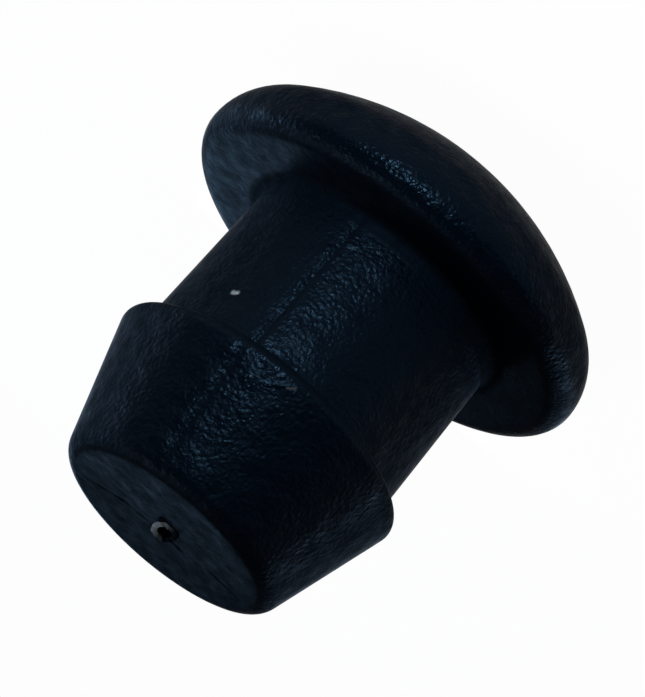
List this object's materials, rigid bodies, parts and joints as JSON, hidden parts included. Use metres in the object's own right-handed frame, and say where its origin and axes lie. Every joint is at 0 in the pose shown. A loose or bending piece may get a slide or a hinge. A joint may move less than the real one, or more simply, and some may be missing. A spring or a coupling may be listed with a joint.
{
  "type": "tube end stop plug",
  "caption": "Solid moulded push-in plug with a low domed round head, a flat annular seat, a plain round shank and a barbed tapered nose; closes the open end of a tube.",
  "frame": {"origin": "middle of the flat on the head's crown, on the axis; the plug stands on its head", "axes": "+Z along the axis from the head to the nose, the direction in which the plug goes into a tube; the gate mark lies towards -Y"},
  "size_m": [0.019, 0.019, 0.02],
  "materials": {
    "black_plastic": "matt black with a fine spark-eroded grain"
  },
  "bodies": {
    "root": {"plug": "black_plastic"}
  },
  "joints": []
}
